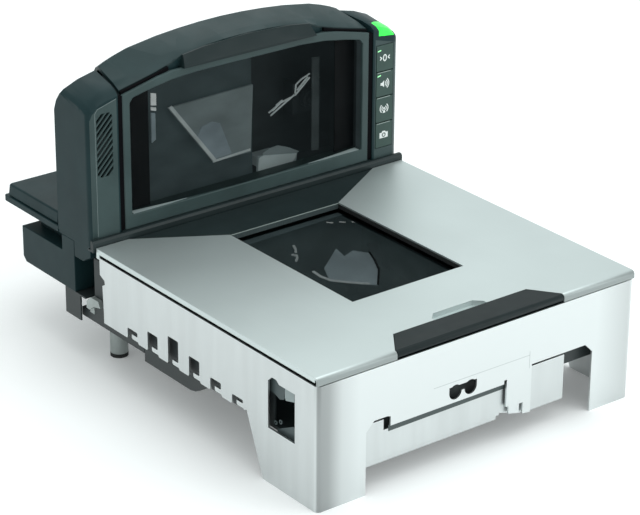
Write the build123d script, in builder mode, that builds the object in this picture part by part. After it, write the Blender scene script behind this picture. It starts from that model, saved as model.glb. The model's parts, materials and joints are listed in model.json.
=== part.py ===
from build123d import *
import math
import os

# In-counter checkout scanner: a lift-off stainless platter with a horizontal window, a weighing base
# that hangs in the counter cut-out, and a rear tower with a vertical window. Millimetres, +Z up.
# Every sketch is written in the platter frame: x from the centre line, y from the platter's front
# edge and z from the platter's top. The planes below place that frame, so that the model's own
# origin is at the middle of the footprint, at the height of the feet.

# Driving dimensions
WIDTH = 292.0              # platter and skirt, side to side
DEPTH = 399.5              # skirt front to the back of the counter flange
BELOW = 102.8              # platter top down to the feet
PLATTER_DEPTH = 266.0      # platter front edge to its rear edge
SHEET = 1.5                # stainless sheet
SKIRT_LEAD = 3.0           # the skirt's front stands this far ahead of the platter's top edge
SKIRT_TOP = -6.5
SKIRT_REAR = 262.0
SKIRT_BEND = 4.0
WINDOW_HALF = 51.6         # horizontal window
WINDOW_FRONT = 78.7
WINDOW_REAR = 227.0
APRON_HALF = 117.0         # the apron's rear edge, widening from the window
TAB_FRONT_HALF = 76.5      # lift tab, a flush trapezoid
TAB_REAR_HALF = 61.0
TAB_DEPTH = 20.7
TAB_THICKNESS = 3.0
TAB_CLEARANCE = 0.4
PIN_RADIUS = 0.8
PAN_HALF = 140.4           # base pan
PAN_FLOOR = -62.0
RAIL_BOTTOM = -67.3         # rails under the rear of the pan
DECK_TOP = -13.7
TOWER_FRONT = 271.2        # tower, front and rear faces
TOWER_REAR = 321.0
TOWER_FOOT = -2.0
RIDGE_Y = 309.0            # the tower's top rises to here and then falls to the rear
COVER_Y = 318.3            # joint between the tower shells and the back cover
SHELL = 2.5                # plastic wall
GLASS_BOW = 984.0          # the vertical window's radius
GLASS_THICKNESS = 3.0
KEY_LEFT, KEY_RIGHT = 123.0, 140.5
KEY_EDGES = (13.0, 34.6, 56.3, 77.6, 100.0)
KEY_GAP = 0.4

HALF = WIDTH / 2
FRONT_Y = SKIRT_LEAD - DEPTH / 2
TOP_Z = BELOW


def level(height):
    """A horizontal plane; its axes are x and y of the platter frame."""
    return Plane(origin=(0, FRONT_Y, TOP_Z + height), x_dir=(1, 0, 0), z_dir=(0, 0, 1))


def front_plane(depth):
    """An upright plane that faces the operator; its axes are x and z of the platter frame."""
    return Plane(origin=(0, FRONT_Y + depth, TOP_Z), x_dir=(1, 0, 0), z_dir=(0, -1, 0))


def side_plane(x):
    """An upright plane that faces right; its axes are y and z of the platter frame."""
    return Plane(origin=(x, FRONT_Y, TOP_Z), x_dir=(0, 1, 0), z_dir=(1, 0, 0))


def block(x_span, y_span, z_span, mode=Mode.ADD):
    """A rectangular block between two corners."""
    with BuildSketch(level(min(z_span))) as outline:
        with Locations((sum(x_span) / 2, sum(y_span) / 2)):
            Rectangle(abs(x_span[1] - x_span[0]), abs(y_span[1] - y_span[0]))
    extrude(outline.sketch, amount=abs(z_span[1] - z_span[0]), mode=mode)


def polygon(plane, points, corner=0.0):
    """A closed polygon with equally rounded corners, as a sketch on the plane."""
    with BuildSketch(plane) as outline:
        with BuildLine():
            Polyline(points, close=True)
        make_face()
        if corner:
            fillet(outline.vertices(), corner)
    return outline.sketch


def flat_prism(points, z_span, mode=Mode.ADD, corner=0.0):
    """A plan outline, between two heights."""
    extrude(polygon(level(z_span[0]), points, corner), amount=z_span[1] - z_span[0], mode=mode)


def front_prism(points, y_span, mode=Mode.ADD, corner=0.0):
    """A front outline, between two depths."""
    extrude(polygon(front_plane(y_span[0]), points, corner), amount=y_span[0] - y_span[1], mode=mode)


def side_prism(points, x_span, mode=Mode.ADD, corner=0.0):
    """A side outline, between two widths."""
    extrude(polygon(side_plane(x_span[0]), points, corner), amount=x_span[1] - x_span[0], mode=mode)


def post(x, y, radius, z_span, mode=Mode.ADD):
    """An upright round post or, subtracted, a hole."""
    with BuildSketch(level(z_span[0])) as outline:
        with Locations((x, y)):
            Circle(radius)
    extrude(outline.sketch, amount=z_span[1] - z_span[0], mode=mode)


def rod(x_span, y, z, radius, mode=Mode.ADD):
    """A round rod or hole along x."""
    with BuildSketch(side_plane(x_span[0])) as outline:
        with Locations((y, z)):
            Circle(radius)
    extrude(outline.sketch, amount=x_span[1] - x_span[0], mode=mode)


def barrel(x, z, radius, y_span, mode=Mode.ADD):
    """A round barrel or hole along y."""
    with BuildSketch(front_plane(y_span[0])) as outline:
        with Locations((x, z)):
            Circle(radius)
    extrude(outline.sketch, amount=y_span[0] - y_span[1], mode=mode)


def mirrored(points):
    """The right half of an outline, from the centre outwards, continued by its mirror image."""
    return [(-x, z) for x, z in reversed(points) if x > 0] + list(points)


# ---------------------------------------------------------------------------------------------------
# Lift-off platter
# ---------------------------------------------------------------------------------------------------

FLANGE_DROP = -4.0         # the platter's side flanges
LIP_RADIUS = 3.0
LIP_DROP = -6.0
FRAME_BOTTOM = -7.0
TRAY_BOTTOM = -10.2
GLASS_TOP = -4.8
GLASS_BOTTOM = -8.2

window = [(-WINDOW_HALF, WINDOW_FRONT), (WINDOW_HALF, WINDOW_FRONT), (WINDOW_HALF, WINDOW_REAR),
          (APRON_HALF, PLATTER_DEPTH), (-APRON_HALF, PLATTER_DEPTH), (-WINDOW_HALF, WINDOW_REAR)]
tab_outline = [(-TAB_FRONT_HALF, 0), (TAB_FRONT_HALF, 0), (TAB_REAR_HALF, TAB_DEPTH),
               (-TAB_REAR_HALF, TAB_DEPTH)]
tab_slot_front = TAB_FRONT_HALF + TAB_CLEARANCE
tab_slot_rear = TAB_REAR_HALF + TAB_CLEARANCE
tab_slot = [(-tab_slot_front, -2 * LIP_RADIUS), (tab_slot_front, -2 * LIP_RADIUS), (tab_slot_front, 0),
            (tab_slot_rear, TAB_DEPTH + TAB_CLEARANCE), (-tab_slot_rear, TAB_DEPTH + TAB_CLEARANCE),
            (-tab_slot_front, 0)]
scoop_outline = [(-24, TAB_DEPTH), (24, TAB_DEPTH), (24, 24), (18, 30), (-18, 30), (-24, 24)]

with BuildPart() as platter:
    block((-HALF, HALF), (0, PLATTER_DEPTH), (-SHEET, 0))
    for side in (-1, 1):
        block((side * (HALF - SHEET), side * HALF), (0, PLATTER_DEPTH), (FLANGE_DROP, -SHEET))
        block((side * (HALF - SHEET), side * HALF), (PLATTER_DEPTH - 4, PLATTER_DEPTH),
              (2 * FLANGE_DROP, FLANGE_DROP))
    with BuildSketch(side_plane(-HALF)):
        with BuildLine():
            CenterArc((0, -LIP_RADIUS), LIP_RADIUS, 90, 90)
            Polyline((-LIP_RADIUS, -LIP_RADIUS), (-LIP_RADIUS, LIP_DROP), (SHEET - LIP_RADIUS, LIP_DROP),
                     (SHEET - LIP_RADIUS, -LIP_RADIUS))
            CenterArc((0, -LIP_RADIUS), LIP_RADIUS - SHEET, 90, 90)
            Line((0, -SHEET), (0, 0))
        make_face()
    extrude(amount=WIDTH)
    flat_prism(window, (-2 * SHEET, SHEET), Mode.SUBTRACT)
    flat_prism(tab_slot, (2 * LIP_DROP, SHEET), Mode.SUBTRACT)
    flat_prism(scoop_outline, (-2 * SHEET, SHEET), Mode.SUBTRACT)

with BuildPart() as finger_scoop:
    with BuildSketch(level(-SHEET - 3.6)):
        add(polygon(Plane.XY, scoop_outline))
        offset(amount=1.2, kind=Kind.INTERSECTION)
    extrude(amount=3.6)
    with BuildSketch(level(-SHEET - 2.8)):
        add(polygon(Plane.XY, scoop_outline))
    extrude(amount=2.8, mode=Mode.SUBTRACT)
    block((-27, 27), (TAB_DEPTH - 5, TAB_DEPTH + TAB_CLEARANCE), (-3.6, 0), Mode.SUBTRACT)

with BuildPart() as platter_frame:
    block((-143, 143), (4.2, 263), (FRAME_BOTTOM, -SHEET))
    block((-62, 62), (69, 237), (TRAY_BOTTOM, FRAME_BOTTOM))
    for side in (-1, 1):
        block((side * 77.2, side * 79.2), (0, 4.2), (-4.4, -1.6))
        rod((min(side * 77.2, side * 79.2), max(side * 77.2, side * 79.2)), 0, -LIP_RADIUS, 1.4)
        rod((min(side * 77, side * 80), max(side * 77, side * 80)), 0, -LIP_RADIUS, PIN_RADIUS,
            Mode.SUBTRACT)
        block((side * 70, side * 128), (40, 215), (FRAME_BOTTOM, -4.5), Mode.SUBTRACT)
    block((-56.3, 56.3), (74.2, 231.8), (GLASS_BOTTOM - 0.1, 0), Mode.SUBTRACT)
    block((-52.5, 52.5), (78, 228), (TRAY_BOTTOM, 0), Mode.SUBTRACT)
    flat_prism(window, (GLASS_TOP, 0), Mode.SUBTRACT)
    block((-77.2, 77.2), (4, TAB_DEPTH + 1), (-TAB_THICKNESS - TAB_CLEARANCE, 0), Mode.SUBTRACT)
    block((-25.6, 25.6), (TAB_DEPTH - 2, 31.8), (-5.2, 0), Mode.SUBTRACT)

with BuildPart() as horizontal_glass:
    block((-56, 56), (74.5, 231.5), (GLASS_BOTTOM, GLASS_TOP))

with BuildPart() as glass_gasket:
    block((-56.1, 56.1), (74.4, WINDOW_REAR - 0.3), (GLASS_TOP, -SHEET))
    block((-WINDOW_HALF, WINDOW_HALF), (WINDOW_FRONT, WINDOW_REAR), (GLASS_TOP, 0), Mode.SUBTRACT)

with BuildPart() as apron:
    slope = (APRON_HALF - WINDOW_HALF) / (PLATTER_DEPTH - WINDOW_REAR)
    front_half, rear_half = WINDOW_HALF - 0.3, WINDOW_HALF - 0.3 + slope * (PLATTER_DEPTH - WINDOW_REAR - 0.6)
    flat_prism([(-front_half, WINDOW_REAR), (front_half, WINDOW_REAR), (rear_half, PLATTER_DEPTH - 0.6),
                (-rear_half, PLATTER_DEPTH - 0.6)], (GLASS_TOP + 0.1, -0.3))

with BuildPart() as lift_tab:
    flat_prism(tab_outline, (-TAB_THICKNESS, 0))
    rod((-TAB_FRONT_HALF, TAB_FRONT_HALF), 0, -LIP_RADIUS, LIP_RADIUS)
    flat_prism([(-TAB_FRONT_HALF, -LIP_RADIUS), (TAB_FRONT_HALF, -LIP_RADIUS), *tab_outline[1:],
                (-TAB_FRONT_HALF, 0)], (LIP_DROP, 0), Mode.INTERSECT)
    rod((-TAB_FRONT_HALF, TAB_FRONT_HALF), 0, -LIP_RADIUS, PIN_RADIUS + 0.05, Mode.SUBTRACT)

with BuildPart() as lift_tab_pin:
    rod((-79.2, 79.2), 0, -LIP_RADIUS, PIN_RADIUS)

# ---------------------------------------------------------------------------------------------------
# Skirt, chassis and feet
# ---------------------------------------------------------------------------------------------------

LEG_LEFT, LEG_RIGHT = -103.5, 107.0   # inner edges of the front legs
OPENING_TOP = -46.8
LEG_REAR = 58.5
SIDE_BOTTOM = -58.3
VENT_PITCH = 26.3
VENT_FIRST = 88.4
VENT_FLOOR = -53.2
TAB_BOTTOM = -56.8          # the small tab under the front half of each vent
VENT_HEIGHTS = (2.6, 5.0, 11.4, 17.0, 10.5, 3.6)

side_cut = [(LEG_REAR - 3, -BELOW - 7), (LEG_REAR, -BELOW), (77.6, SIDE_BOTTOM + 2), (82, SIDE_BOTTOM),
            (258, SIDE_BOTTOM), (258, -50), (259, -28), (255.5, -26), (256, -23), (SKIRT_REAR, -20),
            (SKIRT_REAR, 10), (SKIRT_REAR + 30, 10), (SKIRT_REAR + 30, -BELOW - 7)]
front_cut = [(LEG_LEFT, -BELOW - 7), (LEG_LEFT, OPENING_TOP - 7), (LEG_LEFT + 7, OPENING_TOP),
             (-85, OPENING_TOP), (-82, OPENING_TOP - 1), (-82, -55), (22, -55), (22, -52), (24.5, -52),
             (24.5, -74), (27, -74), (27, -80), (37, -82.5), (37, -75), (40.5, -75), (40.5, -84),
             (48, -85), (48, OPENING_TOP), (LEG_RIGHT - 7, OPENING_TOP), (LEG_RIGHT, OPENING_TOP - 7),
             (LEG_RIGHT, -BELOW - 7)]
leg_window = [(22, -21.5), (40, -21.5), (43, -19), (48, -19), (52.4, -23), (52.4, -59.4), (22, -59.4)]

with BuildPart() as skirt:
    with BuildSketch(level(-BELOW)) as bent_sheet:
        with BuildLine():
            Polyline((-HALF, SKIRT_REAR), (-HALF, -SKIRT_LEAD), (HALF, -SKIRT_LEAD), (HALF, SKIRT_REAR),
                     close=True)
        make_face()
        fillet(bent_sheet.vertices().group_by(Axis.Y)[0], SKIRT_BEND)
        with BuildSketch(mode=Mode.SUBTRACT) as inner_face:
            with BuildLine():
                Polyline((SHEET - HALF, SKIRT_REAR + 1), (SHEET - HALF, SHEET - SKIRT_LEAD),
                         (HALF - SHEET, SHEET - SKIRT_LEAD), (HALF - SHEET, SKIRT_REAR + 1), close=True)
            make_face()
            fillet(inner_face.vertices().group_by(Axis.Y)[0], SKIRT_BEND - SHEET)
    extrude(amount=BELOW + SKIRT_TOP)
    side_prism(side_cut, (-HALF - 5, HALF + 5), Mode.SUBTRACT)
    front_prism(front_cut, (-SKIRT_LEAD - 1, 1), Mode.SUBTRACT)
    side_prism(leg_window, (-HALF - 5, HALF + 5), Mode.SUBTRACT)
    for index, height in enumerate(VENT_HEIGHTS):
        middle = VENT_FIRST + index * VENT_PITCH
        side_prism([(middle - 6.5, VENT_FLOOR), (middle + 6.5, VENT_FLOOR), (middle + 6.5, VENT_FLOOR + height),
                    (middle - 6.5, VENT_FLOOR + height)], (-HALF - 5, HALF + 5), Mode.SUBTRACT, 1.2)
        side_prism([(middle + 1, VENT_FLOOR + 1.3), (middle + 6.5, VENT_FLOOR + 1.3),
                    (middle + 6.5, TAB_BOTTOM), (middle + 8, SIDE_BOTTOM - 1), (middle - 9, SIDE_BOTTOM - 1),
                    (middle - 7, TAB_BOTTOM), (middle, TAB_BOTTOM), (middle + 1, TAB_BOTTOM + 1)],
                   (-HALF - 5, HALF + 5), Mode.SUBTRACT)
    front_prism([(-29.4, -42.4), (-4, -42.4), (-4, -47), (-29.4, -47)], (-SKIRT_LEAD - 1, 1), Mode.SUBTRACT)
    for x in (-23.7, -9.7):
        barrel(x, -47, 5.7, (-SKIRT_LEAD - 1, 1), Mode.SUBTRACT)

with BuildPart() as front_inner_plate:
    front_prism([(-106, -79), (-106, -51.5), (-96, -50.3), (-85.5, -50.3), (-85.5, -58.6), (48.6, -58.6),
                 (48.6, -50.3), (82.5, -50.3), (82.5, -86), (45, -86), (21, -79)], (0.2, 1.7))
    front_prism([(-106, -85.5), (-106, -79.6), (21, -79.6), (21, -85.5)], (3.4, 4.9))
    block((-106, 21), (0.2, 4.9), (-80.6, -79))

with BuildPart() as skirt_brackets:
    for side in (-1, 1):
        block((side * 142.9, side * 144.4), (9, 21), (-44, -20))
        block((side * PAN_HALF, side * 144.4), (7.5, 9), (-44, -20))

POD_REAR = 213.0

with BuildPart() as base_pan:
    block((-PAN_HALF, PAN_HALF), (6, 297), (PAN_FLOOR, PAN_FLOOR + SHEET))
    for side in (-1, 1):
        block((side * 134, side * PAN_HALF), (POD_REAR + 0.3, 297), (RAIL_BOTTOM, PAN_FLOOR))
    block((-PAN_HALF, PAN_HALF), (6, 278.5), (PAN_FLOOR + SHEET, DECK_TOP - SHEET))
    block((SHEET - PAN_HALF, PAN_HALF - SHEET), (6 + SHEET, 278.5 - SHEET), (PAN_FLOOR + SHEET, 0),
          Mode.SUBTRACT)
    side_prism(leg_window, (-PAN_HALF - 5, PAN_HALF + 5), Mode.SUBTRACT)
    for x in (-120, 0, 120):
        for y in (30, 262):
            post(x, y, 1.75, (PAN_FLOOR, PAN_FLOOR + SHEET), Mode.SUBTRACT)

with BuildPart() as pan_screws:
    for x in (-120, 0, 120):
        for y in (30, 262):
            post(x, y, 3.5, (PAN_FLOOR - 2, PAN_FLOOR))
            post(x, y, 1.7, (PAN_FLOOR, PAN_FLOOR + 4))

with BuildPart() as lower_pod:
    side_prism([(POD_REAR, PAN_FLOOR), (POD_REAR, -74), (154, -74), (148, -72.6), (142, -69.5), (133, -63.5),
                (131.5, PAN_FLOOR)], (-PAN_HALF, PAN_HALF))
    side_prism([(POD_REAR - 2, PAN_FLOOR + 1), (POD_REAR - 2, -72), (154.5, -72), (149, -70.7), (143.4, -67.8),
                (136, PAN_FLOOR + 1)], (2 - PAN_HALF, PAN_HALF - 2), Mode.SUBTRACT)

with BuildPart() as chassis_deck:
    block((-PAN_HALF, PAN_HALF), (6, 278.5), (DECK_TOP - SHEET, DECK_TOP))
    block((-60, 60), (70, 236), (DECK_TOP - SHEET, DECK_TOP), Mode.SUBTRACT)
    for x in (-106, 106):
        for y in (50, 252):
            post(x, y, 8, (DECK_TOP - SHEET, DECK_TOP), Mode.SUBTRACT)

with BuildPart() as lower_window:
    block((-66, 66), (64, 240), (DECK_TOP - SHEET - 3, DECK_TOP - SHEET))

with BuildPart() as optics_housing:
    block((-88, 88), (62, 242), (PAN_FLOOR + SHEET, -18.3))
    block((-85.5, 85.5), (64.5, 239.5), (PAN_FLOOR + SHEET + 2.5, 0), Mode.SUBTRACT)

with BuildPart() as lower_mirror_main:
    flat_prism([(39, 219), (65, 199), (56, 183), (35, 158), (26, 164), (10, 187)], (-42, -40))
    post(37, 190, 5, (PAN_FLOOR + SHEET + 2.5, -42))

with BuildPart() as lower_mirror_left:
    front_prism([(-85.3, -24), (-83, -24), (-60, -57.8), (-62.5, -57.8)], (80, 225))

with BuildPart() as lower_mirror_right:
    front_prism([(85.3, -24), (83, -24), (70, -57.8), (72.5, -57.8)], (80, 150))

with BuildPart() as lower_imager:
    block((-30, -4), (92, 122), (PAN_FLOOR + SHEET + 2.5, -46))
    post(-17, 107, 9, (-46, -40))
    post(-17, 107, 7, (-40, -36))

with BuildPart() as scale_frame:
    for x in (-106, 106):
        block((x - 6, x + 6), (44, 258), (-25, -19))
        for y in (50, 252):
            post(x, y, 5, (-19, FRAME_BOTTOM - 2.1))
    for y in (50, 252):
        block((-106, 106), (y - 6, y + 6), (-25, -19))

with BuildPart() as support_pads:
    for x in (-106, 106):
        for y in (50, 252):
            post(x, y, 6.5, (FRAME_BOTTOM - 2.1, FRAME_BOTTOM - 0.1))

with BuildPart() as load_cell:
    block((-75, 75), (34, 56), (-48, -25))
    for x in (-14, 14):
        barrel(x, -36.5, 8, (33, 57), Mode.SUBTRACT)
    block((-14, 14), (33, 57), (-38.5, -34.5), Mode.SUBTRACT)

with BuildPart() as load_cell_mount:
    block((-75, -45), (34, 56), (PAN_FLOOR + SHEET, -48))

POST_X, POST_Y, POST_RADIUS = 117.0, 283.0, 7.0

with BuildPart() as foot_posts:
    for x in (-POST_X, POST_X):
        post(x, POST_Y, POST_RADIUS, (3 - BELOW, PAN_FLOOR))

with BuildPart() as foot_pads:
    for x in (-POST_X, POST_X):
        post(x, POST_Y, POST_RADIUS, (-BELOW, 3 - BELOW))

with BuildPart() as rear_brackets:
    for side in (-1, 1):
        block((side * 143.5, side * 145), (292, 313), (-69.5, -49))
        block((side * 124, side * 145), (285, 313), (-49, -47.6))

with BuildPart() as latch_hooks:
    for side in (-1, 1):
        side_prism([(266, -50), (268.5, -45.2), (279, -45.4), (284.6, -50.2), (284.8, -56), (281, -56.4),
                    (275, -52)], (side * 142.4 - 1.8, side * 142.4 + 1.8))
        block((side * 131, side * 141), (279.2, 284.8), (PAN_FLOOR + SHEET, -51))

# ---------------------------------------------------------------------------------------------------
# Rear housing, counter flange and shelf
# ---------------------------------------------------------------------------------------------------

FLANGE_BOTTOM = -5.0
HOUSING_BOTTOM = -47.5
FLANGE_FRONT = 318.6
FLANGE_REAR = DEPTH - SKIRT_LEAD
SIDE_HALF = 145.6          # the base and housing below the tower
SOCKETS = (-44, -22, 0, 22, 44)

with BuildPart() as tower_spine:
    block((-110, 110), (280.5, 297), (PAN_FLOOR + SHEET, -17.7))
    block((-108, 108), (282.5, 295), (PAN_FLOOR, 0), Mode.SUBTRACT)

with BuildPart() as tower_base:
    side_prism([(274.8, TOWER_FOOT), (COVER_Y, TOWER_FOOT), (COVER_Y, FLANGE_BOTTOM), (297.2, FLANGE_BOTTOM),
                (297.2, -17.5), (285, -17.5), (279, -13.5), (274.8, -11.5)], (-SIDE_HALF, SIDE_HALF))
    block((-100, 100), (283, 295), (-18, 0), Mode.SUBTRACT)

with BuildPart() as rear_housing:
    block((-SIDE_HALF, SIDE_HALF), (297.5, 372), (HOUSING_BOTTOM, -18))
    block((-132, 132), (302, 366), (-18, FLANGE_BOTTOM))
    block((-SIDE_HALF, SIDE_HALF), (297.5, 314.5), (-18, FLANGE_BOTTOM))
    lower_edge = rear_housing.edges().filter_by(Axis.X).group_by(Axis.Z)[0]
    chamfer(lower_edge.sort_by(Axis.Y)[-1], 4)
    block((SHELL - SIDE_HALF, SIDE_HALF - SHELL), (300, 369.5), (HOUSING_BOTTOM + SHELL, -20.5), Mode.SUBTRACT)
    block((-129.5, 129.5), (304.5, 363.5), (-21, 0), Mode.SUBTRACT)
    block((-58, 58), (360, 373), (-42, -22), Mode.SUBTRACT)

with BuildPart() as port_block:
    block((-57.5, 57.5), (352, 371.5), (-41.5, -22.5))
    for x in SOCKETS:
        block((x - 6, x + 6), (357, 372), (-37, -27), Mode.SUBTRACT)

with BuildPart() as main_board:
    block((-110, 110), (303, 351), (-40, -38.4))
    for x, width in ((-80, 34), (-28, 22), (20, 28), (76, 36)):
        block((x - width / 2, x + width / 2), (312, 340), (-38.4, -35))

with BuildPart() as rear_flange:
    with BuildSketch(level(FLANGE_BOTTOM)) as flange_plan:
        with Locations((0, (FLANGE_FRONT + FLANGE_REAR) / 2)):
            Rectangle(WIDTH, FLANGE_REAR - FLANGE_FRONT)
        fillet(flange_plan.vertices().group_by(Axis.Y)[-1], 2)
    extrude(amount=-FLANGE_BOTTOM)

with BuildPart() as flange_pad:
    block((-130, 130), (374, 392), (FLANGE_BOTTOM - 1, FLANGE_BOTTOM))

with BuildPart() as rear_shelf:
    with BuildSketch(level(0.6)) as shelf_foot:
        with Locations((0, 357.5)):
            Rectangle(289, 71.6)
        fillet(shelf_foot.vertices().group_by(Axis.Y)[-1], 2)
    with BuildSketch(level(9)) as shelf_side:
        with Locations((0, 357.1)):
            Rectangle(287.6, 70.8)
        fillet(shelf_side.vertices().group_by(Axis.Y)[-1], 2)
    with BuildSketch(level(10)) as shelf_top:
        with Locations((0, 356.6)):
            Rectangle(285.4, 69.8)
        fillet(shelf_top.vertices().group_by(Axis.Y)[-1], 2)
    loft(ruled=True)
    block((-140.5, 140.5), (324, 390), (0, 7.5), Mode.SUBTRACT)

# ---------------------------------------------------------------------------------------------------
# Tower
# ---------------------------------------------------------------------------------------------------

# The top shell's outlines, from the centre to the right, at depths from its front edge over the ridge
# to the joint with the back cover. The fifth point is a crease that runs outwards from the hood's end.
shell_ridge = [(0, 140.1), (20, 139.7), (40, 138.5), (60, 136.6), (85, 132.8), (97, 129.4), (105, 126.6),
               (112, 123.6)]
shell_outlines = {
    276.0: [(0, 135.6), (20, 135.2), (40, 133.7), (59, 131), (68, 126.9), (84, 122.4), (100, 118.6),
            (115.8, 115.2)],
    284.0: [(0, 137), (20, 136.6), (40, 135.2), (59.3, 132.8), (72, 129.6), (88, 124.9), (101, 121.2),
            (114.9, 118.1)],
    RIDGE_Y: shell_ridge,
    314.7: [(x - 0.01 * x, z - 3) for x, z in shell_ridge],
    318.0: [(x - 0.014 * x, z - 7.5) for x, z in shell_ridge]}
SHELL_DROP = 3.0

# A shoulder's outlines, from its inner edge outwards; the inner edges close in towards the rear
shoulder_outlines = {
    TOWER_FRONT: [(120, 113.6), (130, 111.4), (138, 108.6), (143, 104.3), (HALF, 96)],
    275.0: [(119.6, 116.4), (130, 113.7), (138, 110.6), (143, 107), (HALF, 102)],
    283.0: [(118.4, 118.4), (130, 115.3), (138, 112), (143, 109.3), (HALF, 106.4)],
    RIDGE_Y: [(114.6, 121.2), (130, 117.6), (138, 114.4), (143, 112.4), (HALF, 109.8)],
    314.7: [(113.7, 118), (130, 113.8), (138, 110.2), (143, 107.3), (HALF, 103)],
    318.0: [(113.1, 113.4), (130, 108.8), (138, 104.8), (143, 101), (HALF, 94.8)]}

bezel_top = [(0, 122.1), (71, 122.1), (84, 120), (100, 116.3), (112, 113.4), (115.8, 112.4)]
opening_top = [(0, 116.8), (50, 116.5), (72, 115), (92, 111.7), (106.5, 108.6), (109.3, 105)]
OPENING_HALF = 109.3
OPENING_BOTTOM = 15.8
BEZEL_HALF = 115.8
BEZEL_BOTTOM = 5.0
LIP_REAR = TOWER_FRONT + 2.4
BEZEL_REAR = 284.5
HOOD_FRONT = TOWER_FRONT - 2.6
HOOD_BOTTOM = 122.4


def shell_band(half_top):
    """The top shell's section: its top outline and the same outline lowered by its thickness."""
    top = mirrored(half_top)
    return top + [(x, z - SHELL_DROP) for x, z in reversed(top)]


def shoulder_section(top, side):
    """A shoulder's section, closed down to the tower's foot."""
    return [(side * x, z) for x, z in top + [(HALF, TOWER_FOOT), (top[0][0], TOWER_FOOT)]]


def shoulder_body(side):
    """The outer body of one shoulder, with its outer front corner rounded in plan."""
    for y, top in shoulder_outlines.items():
        add(polygon(front_plane(y), shoulder_section(top, side)))
    loft(ruled=True)
    round_corner(side, (TOWER_FRONT, COVER_Y))


def round_corner(side, y_span):
    """Keeps what lies inside the shoulder's plan, whose outer front corner has a 6 mm radius."""
    with BuildSketch(level(TOWER_FOOT - 5)) as plan:
        with Locations((side * (HALF - 20), (TOWER_FRONT + COVER_Y) / 2)):
            Rectangle(40, COVER_Y - TOWER_FRONT)
        outer = plan.vertices().group_by(Axis.Y)[0].sort_by(Axis.X)
        fillet(outer[-1] if side > 0 else outer[0], 6)
    extrude(plan.sketch, amount=200, mode=Mode.INTERSECT)


def shoulder_cavity(side):
    """The hollow of a shoulder, open to the back cover."""
    inner = [(123.3, 106.5), (130, 104), (138, 100.5), (143.5, 93), (143.5, 0.5), (123.3, 0.5)]
    front_prism([(side * x, z) for x, z in inner], (TOWER_FRONT + 3, COVER_Y + 1), Mode.SUBTRACT)


speaker_outline = [(-121.2, 111.7), (-138.7, 106.8), (-142.4, 103.2), (-144.6, 97), (-144.6, 4), (-121.2, 4)]
key_outline = [(122.2, 105.2), (142, 99.8), (144.6, 97), (144.6, 4), (122.2, 4)]
light_outline = [(125.5, 107.8), (141.5, 105.9), (147, 104.6), (147, 125), (125.5, 125)]
light_plan = [(125.5, 270), (140.6, 270), (141, 275), (147, 280), (147, 294), (125.5, 281)]
light_hollow = [(124, 100), (143.5, 100), (143.5, 102), (138, 106.8), (130, 109.6), (124, 112)]


def recess(outline):
    """The shallow pocket that a front panel sits in."""
    front_prism(outline, (TOWER_FRONT - 1, TOWER_FRONT + 1.8), Mode.SUBTRACT)


with BuildPart() as top_shell:
    for y, top in shell_outlines.items():
        add(polygon(front_plane(y), shell_band(top)))
    loft(ruled=True)
    hood_crease = [(59, 131), (40, 133.6), (0, 135.4), (-40, 133.6), (-59, 131)]
    hood_lip = [(61.6, 123.4), (40, 124), (0, 124.4), (-40, 124), (-61.6, 123.4)]
    for y, top in ((HOOD_FRONT, hood_lip), (HOOD_FRONT + 6, hood_crease), (HOOD_FRONT + 9, hood_crease)):
        add(polygon(front_plane(y), [(-62, HOOD_BOTTOM), (62, HOOD_BOTTOM), *top]))
    loft(ruled=True)
    for side in (-1, 1):
        front_prism([(side * 62.2, 121), (side * 72.5, 121), (side * 71.5, 124.6), (side * 66.5, 126.6),
                     (side * 62.2, 128.6)], (HOOD_FRONT, 281), Mode.SUBTRACT)

rim = mirrored(bezel_top)
opening = [(-OPENING_HALF, OPENING_BOTTOM), *mirrored(opening_top), (OPENING_HALF, OPENING_BOTTOM)]

with BuildPart() as bezel:
    front_prism([(-BEZEL_HALF, BEZEL_BOTTOM), *rim, (BEZEL_HALF, BEZEL_BOTTOM)], (TOWER_FRONT, LIP_REAR))
    block((-BEZEL_HALF, BEZEL_HALF), (LIP_REAR, BEZEL_REAR), (BEZEL_BOTTOM, OPENING_BOTTOM))
    front_prism(opening, (TOWER_FRONT - 1, BEZEL_REAR + 1), Mode.SUBTRACT, 1.4)
    front_edges = bezel.edges().group_by(Axis.Y)[0]
    chamfer(front_edges, 0.6)

with BuildPart() as window_liner:
    front_prism([(1.5 - BEZEL_HALF, OPENING_BOTTOM + 0.1), *((x, z - 1.2) for x, z in rim[1:-1]),
                 (BEZEL_HALF - 1.5, OPENING_BOTTOM + 0.1)], (LIP_REAR, BEZEL_REAR))
    front_prism([(x, z - 1 if z < 20 else z) for x, z in opening], (LIP_REAR - 1, BEZEL_REAR + 1),
                Mode.SUBTRACT)


def bowed_sheet(front_offset, thickness):
    """An upright sheet that bulges towards the operator, as tall as the tower."""
    inner, outer = GLASS_BOW - front_offset - thickness, GLASS_BOW - front_offset
    centre = TOWER_FRONT + 1 + GLASS_BOW
    half_angle = math.degrees(math.asin(112 / GLASS_BOW))
    with BuildSketch(level(OPENING_BOTTOM)) as plan:
        with BuildLine():
            near = CenterArc((0, centre), outer, 270 - half_angle, 2 * half_angle)
            far = CenterArc((0, centre), inner, 270 - half_angle, 2 * half_angle)
            Line(near @ 0, far @ 0)
            Line(near @ 1, far @ 1)
        make_face()
    extrude(plan.sketch, amount=100)


window_inset = [(x - math.copysign(0.4, x) if x else 0, z - 0.4) for x, z in mirrored(opening_top)]
pane = [(0.4 - OPENING_HALF, OPENING_BOTTOM + 0.4), *window_inset, (OPENING_HALF - 0.4, OPENING_BOTTOM + 0.4)]

with BuildPart() as vertical_glass:
    bowed_sheet(0, GLASS_THICKNESS)
    front_prism(pane, (TOWER_FRONT - 5, BEZEL_REAR + 5), Mode.INTERSECT, 1.2)

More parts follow.
